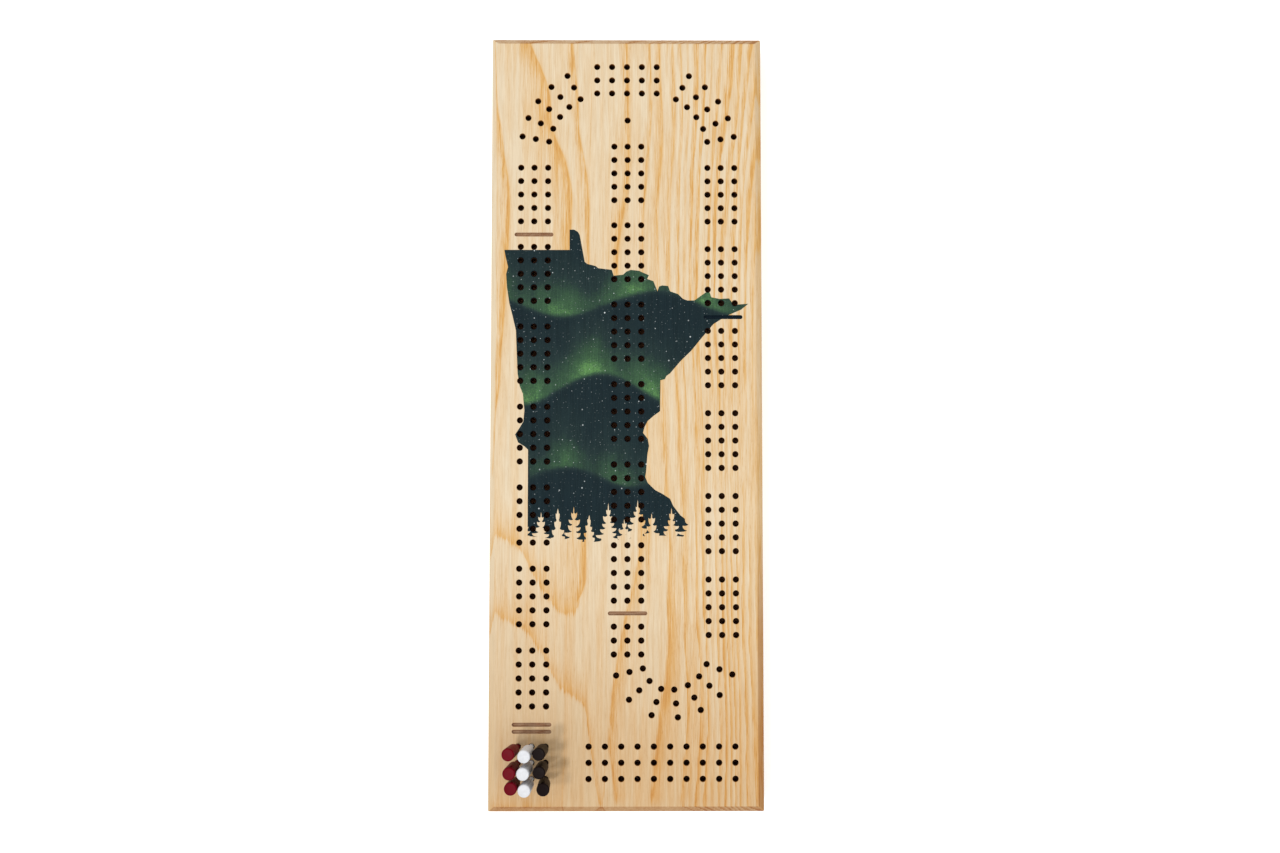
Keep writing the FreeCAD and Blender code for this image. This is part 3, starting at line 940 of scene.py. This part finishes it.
def peg_hole(shell, slab, x, y, radius):
    """A drilled hole with a worn rim: the ring of its rim on the face, and the faces ink may reach."""
    rim = HOLE_RIM
    floor = FACE - HOLE_DEPTH
    floor_edge = 0.35 * MM
    ink_reach = 1.4 * MM
    profile = [(radius + 2 * rim, FACE), (radius + rim, FACE - 0.01 * MM),
               (radius + 0.3 * rim, FACE - 0.4 * rim), (radius, FACE - 1.2 * rim),
               (radius, FACE - ink_reach), (radius, floor + floor_edge), (radius - floor_edge, floor)]
    rings = [shell.ring(circle(x, y, r, slab.hole_sides), height) for r, height in profile]
    first = len(shell.faces)
    for high, low in zip(rings[:4], rings[1:4]):
        shell.band(low, high)
    for high, low in zip(rings[3:], rings[4:]):
        shell.band(low, high, DRILLED)
    shell.face(rings[-1], DRILLED)
    return rings[0], range(first, first + 4 * slab.hole_sides)


def routed_line(shell, x0, x1, y, half):
    """A routed line: the ring of its rim on the face, and the faces ink may reach."""
    floor_edge = 0.35 * MM
    profile = [(half + 2 * LINE_RIM, FACE), (half, FACE - LINE_RIM * 0.4),
               (half, FACE - LINE_DEPTH + floor_edge), (half - floor_edge, FACE - LINE_DEPTH)]
    rings = []
    for reach, height in eased(profile, LINE_RIM, 2):
        grown = reach - half
        rings.append(shell.ring(stadium(x0 - grown, x1 + grown, y, reach), height))
    first = len(shell.faces)
    for high, low in zip(rings, rings[1:]):
        shell.band(low, high, ROUTED)
    floor = rings[-1]
    for i in range(1, len(floor) // 2):
        shell.face((floor[i], floor[i + 1], floor[-i - 1], floor[-i]), ROUTED)
    shell.face((floor[0], floor[1], floor[-1]), ROUTED)
    return rings[0], range(first, len(shell.faces))


def peg_store(shell):
    """The pocket under the slab, as the ring of its rim on the underside."""
    x, y, width, length = peg_pocket()
    rim, floor_edge = 0.3 * MM, 0.4 * MM
    floor = UNDERSIDE + POCKET_DEPTH
    profile = [(-rim, UNDERSIDE), (0.0, UNDERSIDE + rim), (0.0, floor - floor_edge), (floor_edge, floor)]
    rings = []
    for inset, height in eased(profile, 0.15 * MM, 2):
        corner = POCKET_CORNER - inset
        rings.append(shell.ring(
            rounded_rectangle(x, y, width - 2 * inset, length - 2 * inset, corner, 8), height))
    for low, high in zip(rings, rings[1:]):
        shell.band(high, low)
    shell.face(rings[-1][::-1])
    return rings[0]


def screw_holes(shell):
    """Holes for the two screws, as the rings of their rims on the underside."""
    rings = []
    for name in ("cover_pivot_screw", "cover_catch_screw"):
        low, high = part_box(name)
        x, y = (low.x + high.x) / 2, (low.y + high.y) / 2
        outline = circle(x, y, SCREW_HOLE_RADIUS, 24)
        rim = shell.ring(outline, UNDERSIDE)
        end = shell.ring(outline, UNDERSIDE + SCREW_HOLE_DEPTH)
        shell.band(end, rim, DRILLED)
        shell.face(end[::-1], DRILLED)
        rings.append(rim)
    return rings


def build_slab(slab, seed, ink):
    """The whole slab as one closed mesh. A routed line is inked if the panel covers its left third."""
    shell = Shell()
    under, face = slab_body(shell, slab)
    holes = [peg_hole(shell, slab, *hole) for hole in peg_holes()]
    ink_over(shell, [face for _, faces in holes for face in faces], seed)
    lines = [routed_line(shell, *line) for line in routed_lines()]
    for (x0, x1, y, _), (_, faces) in zip(routed_lines(), lines):
        third = np.array([(0.7 * x0 + 0.3 * x1, y)]) / MM
        if inked(third, seed)[0]:
            for face_number in faces:
                shell.finishes[face_number] = INK
    shell.sheet(face, [rim for rim, _ in holes + lines], True)
    shell.sheet(under, [peg_store(shell)] + screw_holes(shell), False)
    return shell.piece("hardwood_slab", [hardwood(slab), drilled(slab), routed(slab), ink])


# The printed panel.

def panel_openings(sides):
    """Outlines of the holes and lines that the ink goes round, in mm."""
    rings = [circle(x, y, radius + INK_CLEAR, sides) for x, y, radius in peg_holes()]
    for x0, x1, y, half in routed_lines():
        rings.append(stadium(x0 - LINE_RIM, x1 + LINE_RIM, y, half + LINE_RIM))
    return [[(x / MM, y / MM) for x, y in ring] for ring in rings]


def build_panel(panel, sides):
    """The ink film: the map, less its trees and ground and every hole and line."""
    outlines = [map_outline()] + bare_wood(panel.tree_seed)
    low, high = np.array(outlines[0]).min(0), np.array(outlines[0]).max(0)
    near = [ring for ring in panel_openings(sides)
            if (np.mean(ring, 0) > low - 15).all() and (np.mean(ring, 0) < high + 15).all()]
    spread = [Vector((x, y)) for x in np.arange(low[0], high[0], PANEL_GRID)
              for y in np.arange(low[1], high[1], PANEL_GRID)]
    points, edges = [], []
    for ring in outlines + near:
        start = len(points)
        points += [Vector(point) for point in ring]
        edges += [(start + k, start + (k + 1) % len(ring)) for k in range(len(ring))]
    made = geometry.delaunay_2d_cdt(points + spread, edges, [], 0, 1e-5)
    flat = np.array(made[0])
    triangles = np.array(made[2])
    middles = flat[triangles].mean(1)
    keep = inked(middles, panel.tree_seed)
    for ring in near:
        keep &= ~inside(middles, ring)
    shell = Shell()
    used = sorted(set(triangles[keep].ravel()))
    number = {old: new for new, old in enumerate(used)}
    shell.points = [(flat[n][0] * MM, flat[n][1] * MM, FACE + panel.film) for n in used]
    for triangle in triangles[keep]:
        shell.face([number[n] for n in triangle])
    print_film = shell.piece("night_sky_print", [bpy.data.materials["night_sky_ink"]])
    glow = print_film.data.attributes.new("glow", "FLOAT", "POINT")
    glow.data.foreach_set("value", northern_lights(flat[used]))
    return print_film


# Pegs.

def peg_stand(name):
    """Matrix that stands a peg in its hole, the peg's height, and its head's radius."""
    joint = next(j for j in frame["joints"] if j["child"] == name)
    up = Vector(joint["axis"]).normalized()
    turn = up.to_track_quat("Z", "Y").to_matrix()
    points = np.array([turn.transposed() @ v.co for v in frame["nodes"][name].data.vertices])
    low, high = points.min(0), points.max(0)
    foot = turn @ Vector(((low[0] + high[0]) / 2, (low[1] + high[1]) / 2, low[2]))
    return Matrix.Translation(foot) @ turn.to_4x4(), high[2] - low[2], (high[0] - low[0]) / 2


def build_peg(name, material, sides):
    """A turned peg: thin pin, cone shoulder, and a head with a dished top."""
    stand, height, head = peg_stand(name)
    profile = [(0.0, 0.0), (PIN_TIP_RADIUS - 0.25 * MM, 0.0), (PIN_TIP_RADIUS, 0.35 * MM),
               (PIN_RADIUS, PIN_IN_HOLE), (PIN_RADIUS, SHOULDER_HEIGHT),
               (head - HEAD_TAPER, SHOULDER_HEIGHT + SHOULDER_CONE),
               (head, height - HEAD_EDGE), (head - HEAD_EDGE, height),
               (head - 0.85 * MM, height - HEAD_DISH * 0.4), (0.0, height - HEAD_DISH)]
    shell = Shell()
    smooth = eased(profile, 0.30 * MM, 4)
    rings = [shell.ring(circle(0, 0, radius, sides), level) for radius, level in smooth[1:-1]]
    for low, high in zip(rings, rings[1:]):
        shell.band(low, high)
    shell.face(rings[0][::-1])
    top = len(shell.points)
    shell.points.append((0.0, 0.0, height - HEAD_DISH))
    for i, n in enumerate(rings[-1]):
        shell.face((n, rings[-1][(i + 1) % sides], top))
    shell.points = [tuple(stand @ Vector(point)) for point in shell.points]
    return shell.piece(name + "_turned", [material], 40.0)


# Hardware under the board.

def softened(node, name, material, width):
    """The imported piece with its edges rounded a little."""
    source = frame["nodes"][node]
    mesh = source.data.copy()
    mesh.name = name
    mesh.materials.clear()
    mesh.materials.append(material)
    if mesh.has_custom_normals:
        mesh.attributes.remove(mesh.attributes["custom_normal"])
    piece = bpy.data.objects.new(name, mesh)
    bpy.context.scene.collection.objects.link(piece)
    weld = piece.modifiers.new("weld", "WELD")
    weld.merge_threshold = 0.002 * MM
    planar = piece.modifiers.new("planar", "DECIMATE")
    planar.decimate_type = "DISSOLVE"
    planar.angle_limit = math.radians(1.0)
    bevel = piece.modifiers.new("edges", "BEVEL")
    bevel.width = width
    bevel.segments = 2
    bevel.limit_method = "ANGLE"
    bevel.angle_limit = math.radians(30.0)
    bevel.harden_normals = False
    depsgraph = bpy.context.evaluated_depsgraph_get()
    baked = bpy.data.meshes.new_from_object(piece.evaluated_get(depsgraph))
    piece.modifiers.clear()
    piece.data = baked
    baked.polygons.foreach_set("use_smooth", [True] * len(baked.polygons))
    baked.set_sharp_from_angle(angle=math.radians(32.0))
    return piece


# Stage.

def studio_paper():
    """White paper for the floor, seen from above and clear from below."""
    mix = Finish("studio_paper", Roughness=0.9, Specular_IOR_Level=0.2, Emission_Strength=0.45)
    tone = mix.spread(mix.noise(mix.place(), (60, 60, 60), 2.0, 0.5, 1.0), 0.0, 1.0)
    mix.surface("Base Color", mix.blend(tone, (0.94, 0.94, 0.94), (0.93, 0.93, 0.93)))
    seen = mix.node("ShaderNodeLightPath").outputs["Is Camera Ray"]
    above = mix.sum("SUBTRACT", 1.0, mix.node("ShaderNodeNewGeometry").outputs["Backfacing"])
    sheet = mix.node("ShaderNodeMixShader")
    mix.feed(sheet.inputs[0], mix.sum("MULTIPLY", seen, above))
    mix.feed(sheet.inputs[1], mix.node("ShaderNodeBsdfTransparent").outputs[0])
    mix.feed(sheet.inputs[2], mix.shader.outputs[0])
    output = next(node for node in mix.tree.nodes if node.type == "OUTPUT_MATERIAL")
    mix.feed(output.inputs[0], sheet.outputs[0])
    return mix.material


def studio_light(strength):
    """Even white light from all round."""
    world = bpy.data.worlds.new("studio")
    world.use_nodes = True
    background = world.node_tree.nodes["Background"]
    background.inputs["Color"].default_value = (1.0, 1.0, 1.0, 1.0)
    background.inputs["Strength"].default_value = strength
    return world


# Operators, one for each piece or group of like pieces.

class CRIBBAGE_OT_slab(bpy.types.Operator):
    """Build the drilled hardwood slab"""
    bl_idname = "cribbage.slab"
    bl_label = "Hardwood Slab"

    def execute(self, context):
        panel = context.scene.cribbage_panel
        ink = night_sky(panel)
        slab = build_slab(context.scene.cribbage_slab, panel.tree_seed, ink)
        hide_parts("board")
        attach(slab, ROOT)
        return {"FINISHED"}


class CRIBBAGE_OT_panel(bpy.types.Operator):
    """Print the night sky on the slab"""
    bl_idname = "cribbage.panel"
    bl_label = "Printed Panel"

    def execute(self, context):
        print_film = build_panel(context.scene.cribbage_panel, context.scene.cribbage_slab.hole_sides)
        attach(print_film, ROOT)
        return {"FINISHED"}


class CRIBBAGE_OT_pegs(bpy.types.Operator):
    """Turn the nine pegs"""
    bl_idname = "cribbage.pegs"
    bl_label = "Pegs"

    def execute(self, context):
        pegs = context.scene.cribbage_pegs
        for colour in ("red", "white", "black"):
            plastic = moulded_plastic(colour + "_plastic", getattr(pegs, colour))
            for row in (1, 2, 3):
                name = "peg_%s_%d" % (colour, row)
                peg = build_peg(name, plastic, pegs.sides)
                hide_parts(name)
                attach(peg, name)
        return {"FINISHED"}


class CRIBBAGE_OT_cover(bpy.types.Operator):
    """Make the cover of the peg store and its screws"""
    bl_idname = "cribbage.cover"
    bl_label = "Cover and Screws"

    def execute(self, context):
        hardware = context.scene.cribbage_hardware
        brass = brushed_brass(hardware)
        for node, body in (("storage_cover", "storage_cover"), ("cover_pivot_screw", ROOT),
                           ("cover_catch_screw", ROOT)):
            piece = softened(node, node + "_brass", brass, hardware.softening)
            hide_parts(node)
            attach(piece, body)
        return {"FINISHED"}


class CRIBBAGE_OT_feet(bpy.types.Operator):
    """Make the rubber feet"""
    bl_idname = "cribbage.feet"
    bl_label = "Feet"

    def execute(self, context):
        hardware = context.scene.cribbage_hardware
        rubber = foot_rubber(hardware)
        for end in ("front", "back"):
            for side in ("left", "right"):
                node = "foot_%s_%s" % (end, side)
                piece = softened(node, node + "_rubber", rubber, 3 * hardware.softening)
                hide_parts(node)
                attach(piece, ROOT)
        return {"FINISHED"}


class CRIBBAGE_OT_stage(bpy.types.Operator):
    """Set up the pale floor, the soft light and the camera"""
    bl_idname = "cribbage.stage"
    bl_label = "Stage"

    def execute(self, context):
        stage = context.scene.cribbage_stage
        shell = Shell()
        outline = rounded_rectangle(0, 0, FLOOR_SIZE, FLOOR_SIZE, FLOOR_CORNER, 12)
        shell.face(shell.ring(outline, FLOOR_LEVEL))
        shell.piece("studio_floor", [studio_paper()])
        context.scene.world = studio_light(stage.fill)

        for name, share, way in LAMPS:
            light = bpy.data.lights.new(name, "SUN")
            light.energy = stage.key * share
            light.angle = LAMP_SPREAD
            light.color = LAMP_COLOUR
            lamp = bpy.data.objects.new(name, light)
            lamp.rotation_mode = "QUATERNION"
            lamp.rotation_quaternion = Vector(way).to_track_quat("-Z", "Y")
            context.scene.collection.objects.link(lamp)

        lens = bpy.data.cameras.new("camera")
        lens.lens = stage.lens
        lens.sensor_width = 36.0
        lens.clip_start = 0.02
        lens.clip_end = 20.0
        camera = bpy.data.objects.new("camera", lens)
        camera.location = (stage.camera_x, stage.camera_y, FACE + stage.camera_height)
        back = (camera.location - Vector((stage.aim_x, stage.aim_y, FACE))).normalized()
        right = Vector((0.0, 1.0, 0.0)).cross(back).normalized()
        camera.rotation_mode = "QUATERNION"
        camera.rotation_quaternion = Matrix((right, back.cross(right), back)).transposed().to_quaternion()
        context.scene.collection.objects.link(camera)
        context.scene.camera = camera
        context.scene.view_settings.view_transform = "Standard"
        return {"FINISHED"}


OPERATORS = (
    CRIBBAGE_OT_slab,
    CRIBBAGE_OT_panel,
    CRIBBAGE_OT_pegs,
    CRIBBAGE_OT_cover,
    CRIBBAGE_OT_feet,
    CRIBBAGE_OT_stage,
)


class CRIBBAGE_PT_sidebar(bpy.types.Panel):
    """Settings and builders of the cribbage board"""
    bl_label = "Cribbage Board"
    bl_idname = "CRIBBAGE_PT_sidebar"
    bl_space_type = "VIEW_3D"
    bl_region_type = "UI"
    bl_category = "Cribbage"

    def draw(self, context):
        for name, group in SETTINGS.items():
            box = self.layout.box()
            settings = getattr(context.scene, name)
            for field in group.__annotations__:
                box.prop(settings, field)
        for operator in OPERATORS:
            self.layout.operator(operator.bl_idname)


def register():
    for group in SETTINGS.values():
        bpy.utils.register_class(group)
    for name, group in SETTINGS.items():
        setattr(bpy.types.Scene, name, bpy.props.PointerProperty(type=group))
    for operator in OPERATORS:
        bpy.utils.register_class(operator)
    bpy.utils.register_class(CRIBBAGE_PT_sidebar)


def unregister():
    bpy.utils.unregister_class(CRIBBAGE_PT_sidebar)
    for operator in reversed(OPERATORS):
        bpy.utils.unregister_class(operator)
    for name, group in SETTINGS.items():
        delattr(bpy.types.Scene, name)
        bpy.utils.unregister_class(group)


def main():
    register()
    bpy.ops.cribbage.slab()
    bpy.ops.cribbage.panel()
    bpy.ops.cribbage.pegs()
    bpy.ops.cribbage.cover()
    bpy.ops.cribbage.feet()
    bpy.ops.cribbage.stage()


if __name__ == "__main__":
    main()
